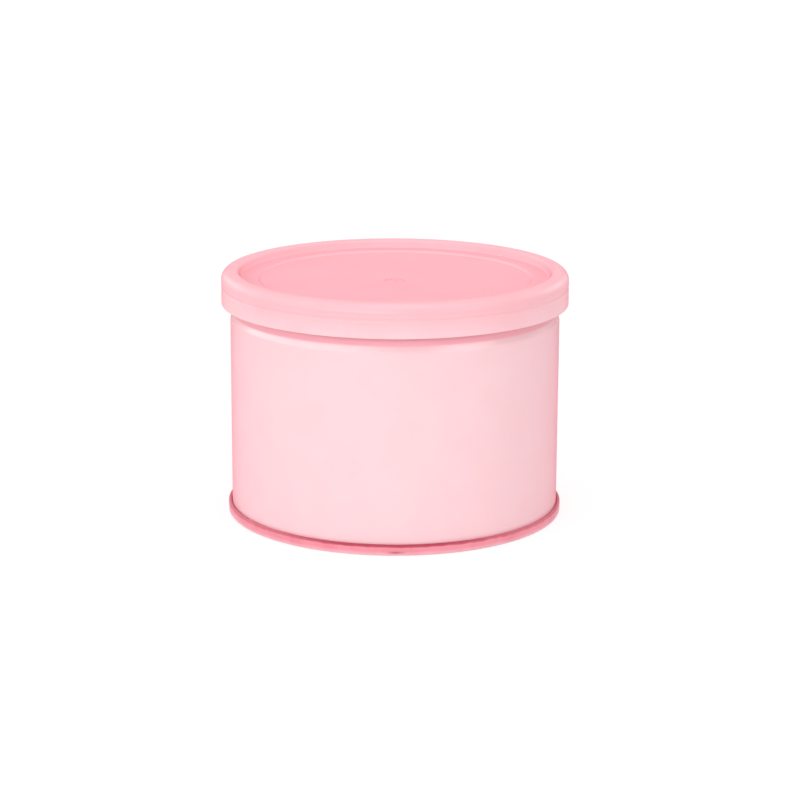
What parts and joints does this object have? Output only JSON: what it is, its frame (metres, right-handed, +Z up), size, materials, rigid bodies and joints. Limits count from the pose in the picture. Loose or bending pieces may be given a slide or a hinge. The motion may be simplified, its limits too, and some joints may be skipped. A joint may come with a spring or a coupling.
{
  "type": "wax tin",
  "caption": "Round lidded tinplate tin of depilatory wax for a salon wax warmer, with a double-seamed foot, necked and curled mouth and a press-on plastic overcap that lifts off.",
  "frame": {"origin": "centre of the foot, on the surface that the tin stands on", "axes": "+Z up along the tin's axis; the side weld is at the back, on +Y"},
  "size_m": [0.1, 0.1, 0.0711],
  "materials": {
    "body_lacquer": "gloss",
    "end_lacquer": "gloss",
    "sealing_compound": "matte",
    "set_wax": "satin",
    "lid_plastic": "satin"
  },
  "bodies": {
    "can": {"can_body": "body_lacquer", "bottom_end": "end_lacquer", "seam_compound": "sealing_compound", "wax": "set_wax"},
    "lid": {"lid": "lid_plastic"}
  },
  "joints": [
    {"name": "lid_lift", "type": "slide", "parent": "can", "child": "lid", "axis": [0, 0, 1], "range_m": [0, 0.06]}
  ]
}
